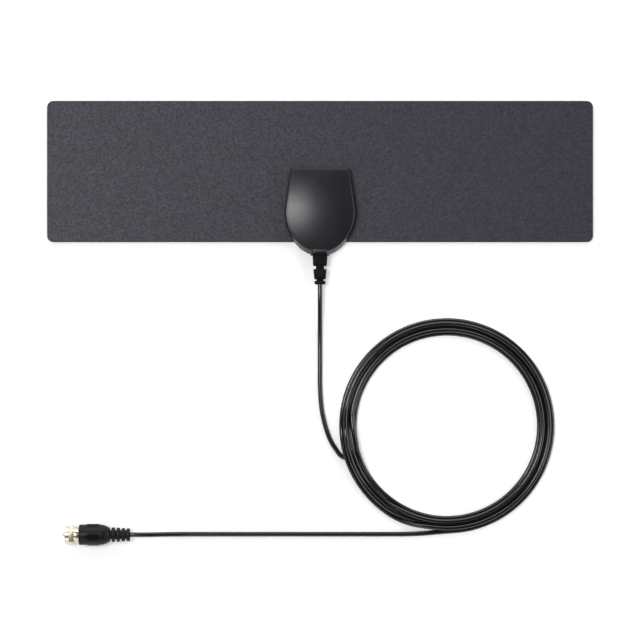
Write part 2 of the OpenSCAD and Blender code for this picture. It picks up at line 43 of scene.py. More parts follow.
# Sizes in millimetres, as the CAD has them
PANEL_W, PANEL_H, PANEL_CY = 340, 88, 4.35
HOUSING_TOP_W, HOUSING_W = 37.7, 44.6
HOUSING_Y0, HOUSING_Y1, WIDE_Y = -48.35, 6.65, -20.15
HOUSING_H, SEAM_Z, RIM_H, WALL = 12, 2.5, 1.2, 1.6
CROWN, TIP_STEP, SIDE_STEP, OUTLINE_CORNER = 2, 4, 0.9, 2.2
CORD_D, CORD_R = 3, 1.5
EXIT = (0, -66, 5.2)
RELIEF_W, RELIEF_H, RELIEF_Z = 9.2, 5.6, EXIT[2]
TUNNEL_GAP, TUNNEL_END = 0.3, -52
HOOD_ROUND, PANEL_ROUND = 2.6, 4
SHEET_Z0, SHEET_Z1 = 2.05, SEAM_Z
PLUG_AT = (-118, -221.5, 6.9)
BOOT_L, GRIP_R = 31.6, 6.4
NUT_Z0, NUT_L, NUT_FLATS = 31.8, 8.7, 11.1
NECK_R, THREAD_R, THREAD_PITCH = 3.25, 4.62, 0.79
PLUG_ROLL, HEXAGON_ROLL = -11, 26
SCREW_SPOTS = [(13.05, 0.05, 0), (-13.05, 0.05, 0), (12.5, -31.05, 0), (-12.5, -31.05, 0)]
RIB_STEP, RIB_GROWTH = 3.1, 0.05


def in_scene(name, data):
    made = bpy.data.objects.new(name, data)
    bpy.context.scene.collection.objects.link(made)
    return made


def polar(radius, angle):
    return radius * math.cos(angle), radius * math.sin(angle)


# ---------------------------------------------------------------- camera
def make_camera():
    """Straight above the antenna, with the view's width taken at the panel's face."""
    distance, view_w, middle_y, sensor_w = 2.0, 0.3985, -0.0881, 36
    data = bpy.data.cameras.new("studio_camera")
    data.sensor_width = sensor_w
    data.lens = sensor_w * (distance - SEAM_Z * MM) / view_w
    data.clip_start, data.clip_end = 0.05, 60
    data.dof.use_dof = False
    camera = in_scene("studio_camera", data)
    camera.location = (0, middle_y, distance)
    bpy.context.scene.camera = camera


make_camera()

# ---------------------------------------------------------------- cord
COIL_AT = (79, -154)
LOWER_Z, UPPER_Z = 1.5, 3.74
# Grooves of the bundle, from the inside out: radius and height
GROOVES = [(57.6, LOWER_Z), (59.6, UPPER_Z), (61.6, LOWER_Z), (63.6, UPPER_Z),
           (65.6, LOWER_Z)]
# Between the tail's exit and the lead's entry the bundle has four strands
NARROW = [(57.8, LOWER_Z), (60.75, 2.3), (63.2, 4.0), (65.6, LOWER_Z)]
# Bearings over which each turn moves out: into the narrow place, then out of it
CLOSING = [(238, 216), (247.5, 225.5), (256, 234), (263, 241)]
OPENING = [(190, 169), (197, 178), (186, 166), (186, 166)]
FIRST_BEARING, LAST_BEARING = 192.5, 272.0
HUMP_BEARING, HUMP_FLAT, HUMP_FALL, HUMP_RISE = 192.5, 7, 17, 3.15
TURN_R, TURN_AT, TURN_BEARINGS = 6.15, 63.75, range(219, 353, 19)
# The first quarter of the coil leaves the turn under it, so no hump lifts it
COIL_STEP, HUMP_FROM = 7.5, 90


def ease(t):
    t = min(1, max(0, t))
    return t * t * (3 - 2 * t)


def on_ring(radius, bearing, z):
    x, y = polar(radius, math.radians(bearing))
    return (COIL_AT[0] + x, COIL_AT[1] + y, z)


def hump(bearing):
    """Rise of the bundle over the turn that the lead makes under it."""
    away = abs((bearing - HUMP_BEARING + 180) % 360 - 180)
    return HUMP_RISE * ease(1 - (away - HUMP_FLAT) / HUMP_FALL)


def coil_moves():
    """The moves in order: where each starts and ends along the coil, and its goal."""
    moves = []
    for turn in range(len(NARROW)):
        for (start, end), goal in ((CLOSING[turn], NARROW[turn]),
                                   (OPENING[turn], GROOVES[turn + 1])):
            begin = (FIRST_BEARING - start) % 360 + 360 * turn
            if start < FIRST_BEARING:
                begin = FIRST_BEARING - start + 360 * (turn + 1)
            moves.append((begin, begin + start - end, goal))
    return moves


def coil_points():
    """Five turns, clockwise seen from above, each in its own groove of the bundle."""
    total = (FIRST_BEARING - LAST_BEARING) % 360 + 360 * len(NARROW)
    moves, found = coil_moves(), []
    steps = round(total / COIL_STEP)
    for k in range(steps + 1):
        s = total * k / steps
        radius, z = GROOVES[0]
        for begin, end, goal in moves:
            t = ease((s - begin) / (end - begin))
            radius, z = radius + (goal[0] - radius) * t, z + (goal[1] - z) * t
        bearing = FIRST_BEARING - s
        found.append(on_ring(radius, bearing, z + (hump(bearing) if s > HUMP_FROM else 0)))
    return found


def lead_points():
    """From the strain relief down to the floor and along it, to the turn under the coil."""
    steps = [(0, 0, 1), (0, -6, 1), (0, -12, 0.9), (0, -18, 0.6), (0, -24, 0.3), (0, -30, 0.1),
             (0, -37, 0), (0, -45, 0), (0, -53, 0), (0, -61, 0), (0.3, -69, 0), (1, -77, 0),
             (2.3, -84, 0), (4.2, -91, 0), (7, -98, 0), (10.4, -103.4, 0)]
    return [(x, EXIT[1] + y, CORD_R + lift * (EXIT[2] - CORD_R)) for x, y, lift in steps]


def under_turn():
    """Left-hand turn of two cord diameters' radius, hidden under the coil."""
    centre = on_ring(TURN_AT, FIRST_BEARING, CORD_R)
    turned = [polar(TURN_R, math.radians(a)) for a in TURN_BEARINGS]
    return [(centre[0] + x, centre[1] + y, CORD_R) for x, y in turned]


def tail_points():
    """From the coil's lowest point along the floor and up into the plug."""
    bend = [(72, 1.2, 0), (64, 0.5, 0), (54, 0.1, 0)]
    level = [(x, 0, 0) for x in (40, 24, 8, -8, -24, -40, -56, -72, -80)]
    rise = [(-87, 0, 0.05), (-94, 0, 0.25), (-100, 0, 0.55), (-106, 0, 0.85), (-112, 0, 1),
            (-118.4, 0, 1)]
    return [(x, PLUG_AT[1] + y, CORD_R + lift * (PLUG_AT[2] - CORD_R))
            for x, y, lift in bend + level + rise]


def make_cord():
    points = lead_points() + under_turn() + coil_points() + tail_points()
    data = bpy.data.curves.new("coaxial_lead", "CURVE")
    data.dimensions = "3D"
    data.bevel_depth = CORD_R * MM
    data.bevel_resolution = 5
    data.resolution_u = 4
    data.use_fill_caps = True
    spline = data.splines.new("BEZIER")
    spline.bezier_points.add(len(points) - 1)
    for knot, place in zip(spline.bezier_points, points):
        knot.co = Vector(place) * MM
        knot.handle_left_type = knot.handle_right_type = "AUTO"
    length = sum((Vector(b) - Vector(a)).length for a, b in zip(points, points[1:])) * MM
    return in_scene("coaxial_lead", data), length


lead, lead_length = make_cord()


# ---------------------------------------------------------------- shader groups
def put(tree, kind, values=None, **settings):
    """A node with its settings; each value is a number, a colour or a socket to link."""
    made = tree.nodes.new(kind)
    for key, value in settings.items():
        setattr(made, key, value)
    for key, value in (values or {}).items():
        socket = made.inputs[key]
        if isinstance(value, bpy.types.NodeSocket):
            tree.links.new(value, socket)
        elif isinstance(value, (tuple, list)) and len(value) == 3 and socket.type == "RGBA":
            socket.default_value = (*value, 1)
        else:
            socket.default_value = value
    return made


def maths(tree, operation, a, b=0.0):
    return put(tree, "ShaderNodeMath", {0: a, 1: b}, operation=operation).outputs[0]


def blend_colour(tree, share, a, b):
    return put(tree, "ShaderNodeMix", {0: share, 6: a, 7: b}, data_type="RGBA").outputs[2]


def ranged(tree, value, low, high, to_low=0.0, to_high=1.0):
    return put(tree, "ShaderNodeMapRange", {"Value": value, "From Min": low, "From Max": high,
                                            "To Min": to_low, "To Max": to_high}).outputs[0]


def noise(tree, where, scale, detail, **more):
    return put(tree, "ShaderNodeTexNoise",
               {"Vector": where, "Scale": scale, "Detail": detail, **more})


def start_group(name, inputs, outputs, kind="ShaderNodeTree"):
    tree = bpy.data.node_groups.new(name, kind)
    for label, sort, value in inputs:
        socket = tree.interface.new_socket(label, in_out="INPUT", socket_type=sort)
        if value is not None:
            socket.default_value = value
    for label, sort in outputs:
        tree.interface.new_socket(label, in_out="OUTPUT", socket_type=sort)
    return tree, tree.nodes.new("NodeGroupInput"), tree.nodes.new("NodeGroupOutput")


FLOAT, VECTOR, GEOMETRY = "NodeSocketFloat", "NodeSocketVector", "NodeSocketGeometry"


def make_grain_group():
    """Fine pitted grain of a moulding: a height, and a slow drift of tone."""
    tree, given, out = start_group(
        "moulding_grain",
        [("Vector", VECTOR, None), ("Grain Size", FLOAT, 0.0003), ("Drift Size", FLOAT, 0.02)],
        [("Height", FLOAT), ("Tone", FLOAT)])
    for size, label, detail in (("Grain Size", "Height", 2.0), ("Drift Size", "Tone", 3.0)):
        scale = maths(tree, "DIVIDE", 1.0, given.outputs[size])
        cloud = noise(tree, given.outputs["Vector"], scale, detail)
        tree.links.new(ranged(tree, cloud.outputs[0], 0.3, 0.7), out.inputs[label])
    return tree


def make_wear_group():
    """Mask of rubbed corners and edges, broken up by patches."""
    tree, given, out = start_group(
        "rubbed_edges",
        [("Vector", VECTOR, None), ("Patch Size", FLOAT, 0.004), ("Amount", FLOAT, 0.5)],
        [("Mask", FLOAT)])
    corner = put(tree, "ShaderNodeNewGeometry").outputs["Pointiness"]
    sharp = ranged(tree, corner, 0.51, 0.6)
    patch = maths(tree, "DIVIDE", 1.0, given.outputs["Patch Size"])
    broken = noise(tree, given.outputs["Vector"], patch, 4.0)
    mask = maths(tree, "MULTIPLY", sharp, ranged(tree, broken.outputs[0], 0.4, 0.65))
    tree.links.new(maths(tree, "MULTIPLY", mask, given.outputs["Amount"]), out.inputs["Mask"])
    return tree


def make_dust_group():
    """Mask of a thin film of dust on what faces up."""
    tree, given, out = start_group(
        "dust_film",
        [("Vector", VECTOR, None), ("Normal", VECTOR, None), ("Patch Size", FLOAT, 0.012),
         ("Amount", FLOAT, 0.2)],
        [("Mask", FLOAT)])
    up = put(tree, "ShaderNodeSeparateXYZ", {0: given.outputs["Normal"]}).outputs[2]
    patch = maths(tree, "DIVIDE", 1.0, given.outputs["Patch Size"])
    cloud = noise(tree, given.outputs["Vector"], patch, 6.0)
    mask = maths(tree, "MULTIPLY", ranged(tree, up, 0.1, 0.9),
                 ranged(tree, cloud.outputs[0], 0.42, 0.7))
    tree.links.new(maths(tree, "MULTIPLY", mask, given.outputs["Amount"]), out.inputs["Mask"])
    return tree


GRAIN, WEAR, DUST = make_grain_group(), make_wear_group(), make_dust_group()
DUST_TONE, DUST_ROUGHENS, GLOSS_SPREAD, SMUDGE = (0.16, 0.155, 0.15), 0.4, 0.05, 0.15
# The panel's grain: pebbles to a metre, the metres that their creases stray, and the width of
# the painted highlight along the rim
PEBBLES, PEBBLE_STRAY, RIM_HIGHLIGHT_WIDTH = 1150.0, 0.0006, 0.0006


# ---------------------------------------------------------------- materials
def start_material(name, constants):
    """A material with its shader, whose even values stand on the shader's own sockets."""
    material = bpy.data.materials.new(name)
    material.use_nodes = True
    tree = material.node_tree
    tree.nodes.clear()
    shader = put(tree, "ShaderNodeBsdfPrincipled", constants)
    out = tree.nodes.new("ShaderNodeOutputMaterial")
    tree.links.new(shader.outputs[0], out.inputs[0])
    place = tree.nodes.new("ShaderNodeTexCoord")
    return material, tree, shader, place


def grouped(tree, group, values):
    return put(tree, "ShaderNodeGroup", values, node_tree=group)


def bump(tree, shader, height, strength, depth):
    made = put(tree, "ShaderNodeBump",
               {"Height": height, "Strength": strength, "Distance": depth})
    tree.links.new(made.outputs[0], shader.inputs["Normal"])


def moulded(name, dark, light, rough, grain=0.0003, drift=0.02, depth=0.00002, strength=0.4,
            wear=0.4, wear_colour=(0.1, 0.1, 0.1), dust=0.15, specular=0.5):
    """Moulded plastic: drifting tone, pitted grain, rubbed edges and a film of dust."""
    material, tree, shader, place = start_material(name, {"Specular IOR Level": specular})
    where = place.outputs["Object"]
    grain_of = grouped(tree, GRAIN, {"Vector": where, "Grain Size": grain, "Drift Size": drift})
    edge_lightening = grouped(tree, WEAR, {"Vector": where, "Amount": wear})
    film = grouped(tree, DUST, {"Vector": where, "Normal": place.outputs["Normal"],
                                "Amount": dust})
    tone = blend_colour(tree, grain_of.outputs["Tone"], dark, light)
    tone = blend_colour(tree, edge_lightening.outputs["Mask"], tone, wear_colour)
    tone = blend_colour(tree, film.outputs["Mask"], tone, DUST_TONE)
    tree.links.new(tone, shader.inputs["Base Color"])
    gloss = ranged(tree, grain_of.outputs["Height"], 0, 1,
                   rough - GLOSS_SPREAD, rough + GLOSS_SPREAD)
    gloss = maths(tree, "ADD", gloss,
                  maths(tree, "MULTIPLY", film.outputs["Mask"], DUST_ROUGHENS))
    tree.links.new(gloss, shader.inputs["Roughness"])
    bump(tree, shader, grain_of.outputs["Height"], strength, depth)
    return material


def rim_highlight_mask(tree, where, broken):
    """Lighter patches painted along the outermost 0.6 mm of the panel: a painted highlight of
    the rim's edge.
    """
    part = put(tree, "ShaderNodeSeparateXYZ", {0: where}).outputs
    across = maths(tree, "SUBTRACT", PANEL_W / 2 * MM, maths(tree, "ABSOLUTE", part[0]))
    along = maths(tree, "SUBTRACT", part[1], PANEL_CY * MM)
    along = maths(tree, "SUBTRACT", PANEL_H / 2 * MM, maths(tree, "ABSOLUTE", along))
    inside = maths(tree, "MINIMUM", across, along)
    return maths(tree, "MULTIPLY", ranged(tree, inside, RIM_HIGHLIGHT_WIDTH, 0.0),
                 ranged(tree, broken, 0.42, 0.6))


def panel_finish():
    """Printed leather grain: pebbles a millimetre across, parted by fine creases, with painted
    shade in the creases and a painted highlight along the rim.
    """
    material, tree, shader, place = start_material("panel_sheet_finish",
                                                   {"Specular IOR Level": 0.5})
    where = place.outputs["Object"]
    stray = noise(tree, where, 500.0, 3.0)
    shift = put(tree, "ShaderNodeVectorMath",
                {0: stray.outputs["Color"], "Scale": PEBBLE_STRAY}, operation="SCALE").outputs[0]
    bent = put(tree, "ShaderNodeVectorMath", {0: where, 1: shift}, operation="ADD").outputs[0]
    cells = put(tree, "ShaderNodeTexVoronoi", {"Vector": bent, "Scale": PEBBLES},
                feature="DISTANCE_TO_EDGE").outputs["Distance"]
    pebble_and_crease_shade = ranged(tree, cells, 0.0, 0.28)
    small = noise(tree, where, 3200.0, 2.0)
    height = maths(tree, "ADD", pebble_and_crease_shade, maths(tree, "MULTIPLY", small.outputs[0], 0.5))
    drift = ranged(tree, noise(tree, where, 14.0, 4.0).outputs[0], 0.35, 0.7)
    own = put(tree, "ShaderNodeTexVoronoi", {"Vector": bent, "Scale": PEBBLES})
    own = put(tree, "ShaderNodeSeparateXYZ", {0: own.outputs["Color"]}).outputs[0]
    tone = blend_colour(tree, own, (0.005, 0.0048, 0.01), (0.036, 0.034, 0.049))
    # A lighter band along the panel's rim, in patches: a painted highlight of the edge
    edge_lightening = rim_highlight_mask(tree, where, stray.outputs[0])
    # Pebble crowns are lightened and the creases between them stay darker: painted shade in the
    # creases
    for mask, share, colour in ((pebble_and_crease_shade, 0.3, (0.026, 0.0245, 0.042)),
                                (drift, 0.04, (0.04, 0.039, 0.055)),
                                (edge_lightening, 0.6, (0.08, 0.08, 0.095))):
        tone = blend_colour(tree, maths(tree, "MULTIPLY", mask, share), tone, colour)
    tree.links.new(tone, shader.inputs["Base Color"])
    gloss = ranged(tree, height, 0.1, 1.3, 0.6, 0.46)
    gloss = maths(tree, "ADD", gloss, ranged(tree, own, 0.0, 1.0, 0.04, -0.04))
    tree.links.new(gloss, shader.inputs["Roughness"])
    bump(tree, shader, height, 0.35, 0.00004)
    return material


def cord_finish():
    """Extruded jacket: faint drawn ripples, scuffs and a satin gloss."""
    material, tree, shader, place = start_material("cord_jacket_finish",
                                                   {"Specular IOR Level": 0.6})
    where = place.outputs["Object"]
    grain_of = grouped(tree, GRAIN, {"Vector": where, "Grain Size": 0.0012,
                                     "Drift Size": 0.03})
    scuff = noise(tree, where, 160.0, 6.0, Roughness=0.7)
    mask = ranged(tree, scuff.outputs[0], 0.62, 0.8, 0.0, 0.3)
    tone = blend_colour(tree, grain_of.outputs["Tone"], (0.002, 0.002, 0.0024),
                        (0.0035, 0.0035, 0.004))
    tone = blend_colour(tree, mask, tone, (0.01, 0.01, 0.0105))
    tree.links.new(tone, shader.inputs["Base Color"])
    gloss = ranged(tree, grain_of.outputs["Height"], 0, 1, 0.17, 0.22)
    tree.links.new(maths(tree, "ADD", gloss, maths(tree, "MULTIPLY", mask, 0.2)),
                   shader.inputs["Roughness"])
    bump(tree, shader, grain_of.outputs["Height"], 0.12, 0.00002)
    return material


def metal(name, dark, light, rough, streak=(1, 1, 1), grain=0.0004, centre=(0, 0, 0),
          strength=0.2, depth=0.00001):
    """Bare or plated metal: streaks drawn out along one way, smudges in the gloss."""
    material, tree, shader, place = start_material(name, {"Metallic": 1.0})
    drawn = put(tree, "ShaderNodeMapping", {"Vector": place.outputs["Object"],
                                            "Location": [-c * MM for c in centre],
                                            "Scale": streak}).outputs[0]
    grain_of = grouped(tree, GRAIN, {"Vector": drawn, "Grain Size": grain,
                                     "Drift Size": 0.006})
    tone = blend_colour(tree, grain_of.outputs["Tone"], dark, light)
    tree.links.new(tone, shader.inputs["Base Color"])
    smear = noise(tree, place.outputs["Object"], 220.0, 5.0)
    gloss = ranged(tree, smear.outputs[0], 0.35, 0.7, rough, rough + SMUDGE)
    tree.links.new(gloss, shader.inputs["Roughness"])
    bump(tree, shader, grain_of.outputs["Height"], strength, depth)
    return material


def braid_finish():
    """Woven wire: two crossed sets of fine strands."""
    material, tree, shader, place = start_material("braid_finish", {"Metallic": 1.0})
    where = place.outputs["Object"]
    waves = []
    for turn in (math.radians(35), math.radians(-35)):
        turned = put(tree, "ShaderNodeMapping", {"Vector": where, "Rotation": (0, 0, turn)})
        wave = put(tree, "ShaderNodeTexWave", {"Vector": turned.outputs[0], "Scale": 900.0,
                                               "Distortion": 1.0})
        waves.append(wave.outputs["Fac"])
    weave = maths(tree, "MAXIMUM", waves[0], waves[1])
    tree.links.new(blend_colour(tree, weave, (0.2, 0.2, 0.2), (0.68, 0.67, 0.66)),
                   shader.inputs["Base Color"])
    tree.links.new(ranged(tree, weave, 0, 1, 0.5, 0.28), shader.inputs["Roughness"])
    bump(tree, shader, weave, 0.6, 0.0001)
    return material


def make_finishes():
    return {
        "panel_sheet": panel_finish(),
        "cord_jacket": cord_finish(),
        "braid": braid_finish(),
        "cover_plastic": moulded("cover_plastic_finish", (0.0055, 0.0055, 0.0082),
                                 (0.0078, 0.0078, 0.0112), 0.32, grain=0.0006, wear=0.3,
                                 wear_colour=(0.05, 0.05, 0.055), dust=0.015,
                                 depth=0.00003, strength=0.6),
        "soft_black": moulded("soft_black_finish", (0.0042, 0.0031, 0.0032),
                              (0.006, 0.0047, 0.0048), 0.42, grain=0.0004,
                              wear_colour=(0.022, 0.02, 0.02), wear=0.3, dust=0.008,
                              specular=0.22),
        "deep_black": moulded("deep_black_finish", (0.001, 0.0009, 0.0009),
                              (0.0016, 0.0015, 0.0015), 0.45, grain=0.0004,
                              wear_colour=(0.012, 0.011, 0.011), wear=0.2, dust=0.004,
                              specular=0.14),
        "white_plastic": moulded("white_plastic_finish", (0.78, 0.78, 0.76),
                                 (0.86, 0.86, 0.84), 0.45, wear=0.0, dust=0.02),
        "board": moulded("board_finish", (0.012, 0.085, 0.03), (0.02, 0.12, 0.045), 0.3,
                         grain=0.0006, drift=0.004, wear=0.3, wear_colour=(0.3, 0.25, 0.1)),
        "ferrite": moulded("ferrite_finish", (0.035, 0.035, 0.04), (0.06, 0.06, 0.065), 0.7,
                           grain=0.00015, depth=0.00004, wear_colour=(0.16, 0.16, 0.17)),
        "ceramic": moulded("ceramic_finish", (0.3, 0.2, 0.12), (0.42, 0.3, 0.18), 0.5,
                           grain=0.0002, wear_colour=(0.5, 0.4, 0.28)),
        "nickel": metal("nickel_finish", (0.60, 0.53, 0.42), (0.78, 0.71, 0.59), 0.24,
                        streak=(6, 1, 1), centre=PLUG_AT),
        "copper": metal("copper_finish", (0.36, 0.25, 0.16), (0.55, 0.4, 0.27), 0.25,
                        streak=(0.2, 1, 1)),
        "brass": metal("brass_finish", (0.55, 0.4, 0.15), (0.74, 0.58, 0.27), 0.25),
        "solder": metal("solder_finish", (0.5, 0.5, 0.5), (0.72, 0.72, 0.72), 0.2,
                        grain=0.001, strength=0.5, depth=0.00005),
        "foil": metal("foil_finish", (0.7, 0.7, 0.71), (0.84, 0.84, 0.85), 0.24,
                      streak=(0.05, 1, 1)),
        "screw_steel": metal("screw_steel_finish", (0.3, 0.3, 0.32), (0.52, 0.52, 0.54), 0.3),
    }


finishes = make_finishes()


# ---------------------------------------------------------------- mesh making
def shade(mesh, degrees):
    mesh.shade_smooth()
    mesh.set_sharp_from_angle(angle=math.radians(degrees))


def as_piece(mesh, slot, body="antenna", stands_for=(), smooth=35, finish=None):
    """A finished mesh as a piece of the antenna, with its finish and its body."""
    piece = in_scene(mesh.name, mesh)
    mesh.materials.clear()
    mesh.materials.append(finishes[finish or slot])
    if smooth:
        shade(mesh, smooth)
    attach(piece, body)
    if stands_for:
        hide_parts(*stands_for)
    return piece


def mesh_from(name, points, faces):
    mesh = bpy.data.meshes.new(name)
    mesh.from_pydata([[c * MM for c in p] for p in points], [], faces)
    work = bmesh.new()
    work.from_mesh(mesh)
    bmesh.ops.remove_doubles(work, verts=work.verts, dist=1e-7)
    bmesh.ops.recalc_face_normals(work, faces=work.faces)
    work.to_mesh(mesh)
    work.free()
    return mesh


def rings_mesh(name, rings, all_round=False):
    """Skin over closed rings of equally many points, capped or joined all round."""
    n, count, faces = len(rings[0]), len(rings), []
    points = [p for ring in rings for p in ring]
    for k in range(count if all_round else count - 1):
        a, b = k * n, (k + 1) % count * n
        faces += [(a + i, a + (i + 1) % n, b + (i + 1) % n, b + i) for i in range(n)]
    if not all_round:
        faces.append(tuple(range(n - 1, -1, -1)))
        faces.append(tuple(range((count - 1) * n, count * n)))
    return mesh_from(name, points, faces)


def lathe(name, profile, sides):
    """Closed profile of (radius, height) turned about +Z."""
    return rings_mesh(name, [[(*polar(r, math.tau * k / sides), z) for r, z in profile]
                             for k in range(sides)], all_round=True)


def arc(start, corner, end, t):
    """Point on the arc from start to end that the corner between them pulls out."""
    return start * (1 - t) ** 2 + corner * 2 * t * (1 - t) + end * t ** 2


def rounded_profile(corners, steps=4):
    """Closed profile through (r, z, rounding) corners, each rounded by a small arc."""
    found = []
    for i, (r, z, soft) in enumerate(corners):
        if soft <= 0:
            found.append((r, z))
            continue
        here = Vector((r, z))
        a = Vector(corners[i - 1][:2]) - here
        b = Vector(corners[(i + 1) % len(corners)][:2]) - here
        reach = min(soft, a.length / 2.02, b.length / 2.02)
        a, b = here + a.normalized() * reach, here + b.normalized() * reach
        for k in range(steps + 1):
            p = arc(a, here, b, k / steps)
            found.append((max(p.x, 0), p.y))
    return found


def joined(name, meshes):
    """Several forms as one mesh."""
    work = bmesh.new()
    for one in meshes:
        work.from_mesh(one)
    made = bpy.data.meshes.new(name)
    work.to_mesh(made)
    work.free()
    return made


PLUG_PLACE = (Matrix.Translation(Vector(PLUG_AT) * MM) @ Matrix.Rotation(-math.pi / 2, 4, "Y")
              @ Matrix.Rotation(math.radians(PLUG_ROLL), 4, "Z"))


def on_plug(mesh):
    mesh.transform(PLUG_PLACE)
    return mesh


def finished_mesh(piece):
    """The piece's mesh as its modifiers leave it."""
    return bpy.data.meshes.new_from_object(
        piece.evaluated_get(bpy.context.evaluated_depsgraph_get()))


def bake(piece):
    made = finished_mesh(piece)
    piece.modifiers.clear()
    piece.data = made
    return piece


def soften(piece, width, angle=30, segments=2):
    """Rounded edges, with flat faces kept flat by normals weighed by area."""
    piece.data.shade_smooth()
    if width:
        bevel = piece.modifiers.new("rounded_edges", "BEVEL")
        bevel.width = width * MM
        bevel.segments = segments
        bevel.limit_method = "ANGLE"
        bevel.angle_limit = math.radians(angle)
        bevel.use_clamp_overlap = True
    weigh = piece.modifiers.new("flat_faces", "WEIGHTED_NORMAL")
    weigh.mode = "FACE_AREA"
    weigh.weight = 60
    return bake(piece)


def refined(node, slot, width):
    """A copy of a CAD piece with its edges rounded."""
    mesh = nodes[node].data.copy()
    mesh.name = node + "_finished"
    work = bmesh.new()
    work.from_mesh(mesh)
    bmesh.ops.remove_doubles(work, verts=work.verts, dist=2e-6)
    bmesh.ops.dissolve_limit(work, angle_limit=math.radians(0.5), verts=work.verts,
                             edges=work.edges)
    work.to_mesh(mesh)
    work.free()
    return soften(as_piece(mesh, slot, stands_for=(node,), smooth=0), width)


# ---------------------------------------------------------------- node trees for what repeats
def end_in_mesh(tree, given, out, form):
    """The end of every tree: real geometry, with its finish."""
    real = put(tree, "GeometryNodeRealizeInstances", {0: form.outputs[0]})
    done = put(tree, "GeometryNodeSetMaterial",
               {"Geometry": real.outputs[0], "Material": given.outputs["Finish"]})
    tree.links.new(done.outputs[0], out.inputs[0])
    return tree


def copies_tree():
    """Copies of one piece, one on each point, each turned and grown a step more."""
    tree, given, out = start_group(
        "copies_on_spots",
        [("Spots", GEOMETRY, None), ("Piece", "NodeSocketObject", None),
         ("Turn Step", FLOAT, None), ("Growth Step", FLOAT, None),
         ("Finish", "NodeSocketMaterial", None)],
        [("Copies", GEOMETRY)], "GeometryNodeTree")
    spots = put(tree, "GeometryNodeMeshToPoints", {"Mesh": given.outputs["Spots"]})
    piece = put(tree, "GeometryNodeObjectInfo", {"Object": given.outputs["Piece"]})
    order = tree.nodes.new("GeometryNodeInputIndex").outputs[0]
    turn = maths(tree, "MULTIPLY", order, given.outputs["Turn Step"])
    wide = maths(tree, "ADD", maths(tree, "MULTIPLY", order, given.outputs["Growth Step"]), 1.0)
    return end_in_mesh(tree, given, out, put(
        tree, "GeometryNodeInstanceOnPoints",
        {"Points": spots.outputs[0], "Instance": piece.outputs["Geometry"],
         "Rotation": put(tree, "ShaderNodeCombineXYZ", {2: turn}).outputs[0],
         "Scale": put(tree, "ShaderNodeCombineXYZ", {0: wide, 1: wide, 2: 1.0}).outputs[0]}))


def sweep_tree():
    """A round profile of few sides swept along a path."""
    tree, given, out = start_group(
        "swept_profile",
        [("Path", GEOMETRY, None), ("Profile Radius", FLOAT, None),
         ("Profile Sides", "NodeSocketInt", None), ("Finish", "NodeSocketMaterial", None)],
        [("Sweep", GEOMETRY)], "GeometryNodeTree")
    ring = put(tree, "GeometryNodeCurvePrimitiveCircle",
               {"Resolution": given.outputs["Profile Sides"],
                "Radius": given.outputs["Profile Radius"]})
    return end_in_mesh(tree, given, out, put(
        tree, "GeometryNodeCurveToMesh",
        {"Curve": given.outputs["Path"], "Profile Curve": ring.outputs[0],
         "Fill Caps": True}))


COPIES, SWEEP = copies_tree(), sweep_tree()


def run_tree(name, tree, source, values):
    """The tree's result on that geometry, as a plain mesh."""
    host = in_scene(name + "_host", source)
    modifier = host.modifiers.new(name, "NODES")
    modifier.node_group = tree
    sockets = {s.name: s.identifier for s in tree.interface.items_tree
               if s.item_type == "SOCKET" and s.in_out == "INPUT"}
    for label, value in values.items():
        modifier[sockets[label]] = value
    bpy.context.view_layer.update()
    made = finished_mesh(host)
    host.modifiers.remove(modifier)
    bpy.data.objects.remove(host)
    made.name = name
    return made


def copies(name, mesh, places, slot, turn=0.0, growth=0.0):
    """Copies of the mesh at those places, as one mesh."""
    pattern = in_scene(name + "_pattern", mesh)
    spots = bpy.data.meshes.new(name + "_spots")
    spots.from_pydata([[c * MM for c in p] for p in places], [], [])
    made = run_tree(name, COPIES, spots,
                    {"Piece": pattern, "Turn Step": turn, "Growth Step": growth,
                     "Finish": finishes[slot]})
    bpy.data.objects.remove(pattern)
    return made


# ---------------------------------------------------------------- front cover
DOME_W, DOME_TOP_W = HOUSING_W - 2 * SIDE_STEP, HOUSING_TOP_W - 2 * SIDE_STEP
DOME_Y0, DOME_Y1 = HOUSING_Y0 + TIP_STEP, HOUSING_Y1 - SIDE_STEP
DOME_CY = (DOME_Y0 + DOME_Y1) / 2
DOME_R = (DOME_W ** 2 / 4 + CROWN ** 2) / (2 * CROWN)


def shield(top_w, wide_w, y_top, y_wide, y_tip):
    """Outline of the housing, from the right top corner round to the left one."""
    side = []
    for k in range(7):
        a = math.radians(90 - 15 * k)
        side.append((top_w / 2 - OUTLINE_CORNER * (1 - math.cos(a)),
                     y_top - OUTLINE_CORNER * (1 - math.sin(a))))
    x0, y0 = side[-1]
    for k in range(1, 14):
        side.append((x0 + (wide_w / 2 - x0) * k / 14, y0 + (y_wide - y0) * k / 14))
    for k in range(36):
        a = math.radians(2.5 * k)
        side.append((wide_w / 2 * math.cos(a), y_wide - (y_wide - y_tip) * math.sin(a)))
    top = top_w / 2 - OUTLINE_CORNER
    return (side + [(0, y_tip)] + [(-x, y) for x, y in reversed(side)]
            + [(-top + top * k / 12, y_top) for k in range(1, 24)])


def dome_z(x, y, inset=0.0):
    r = DOME_R - inset
    return HOUSING_H - DOME_R + math.sqrt(r * r - x * x - (y - DOME_CY) ** 2)


